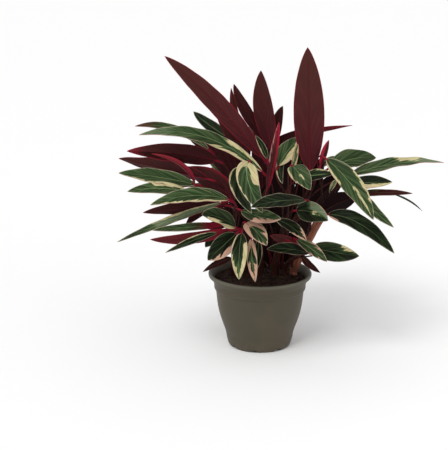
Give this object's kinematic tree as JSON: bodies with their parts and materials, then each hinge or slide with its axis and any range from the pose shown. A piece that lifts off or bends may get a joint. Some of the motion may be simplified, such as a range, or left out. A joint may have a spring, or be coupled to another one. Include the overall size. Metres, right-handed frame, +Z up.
{
  "type": "potted stromanthe plant",
  "caption": "Bushy prayer plant with lance-shaped green, cream and wine-red leaves on clumped stems, growing in a round flared nursery pot filled with soil.",
  "frame": {"origin": "centre of the pot's flat underside, on the surface it stands on", "axes": "+Z up along the pot's axis, +X to the viewer's right when the plant's front is seen, -Y towards that viewer"},
  "size_m": [0.5182, 0.396, 0.4961],
  "materials": {
    "pot": "matte",
    "soil": "matte",
    "leaf_green": "satin",
    "leaf_wine": "satin"
  },
  "bodies": {
    "root": {"pot": "pot", "soil": "soil", "stem_tall_left": "leaf_wine", "stem_tall_right": "leaf_wine", "stem_front": "leaf_green", "stem_front_right": "leaf_green", "stem_right": "leaf_green", "stem_low_right": "leaf_green", "stem_front_left": "leaf_green", "stem_left_low": "leaf_green", "stem_left": "leaf_wine", "stem_back_left": "leaf_green", "stem_back": "leaf_green", "stem_back_right": "leaf_green"}
  },
  "joints": []
}
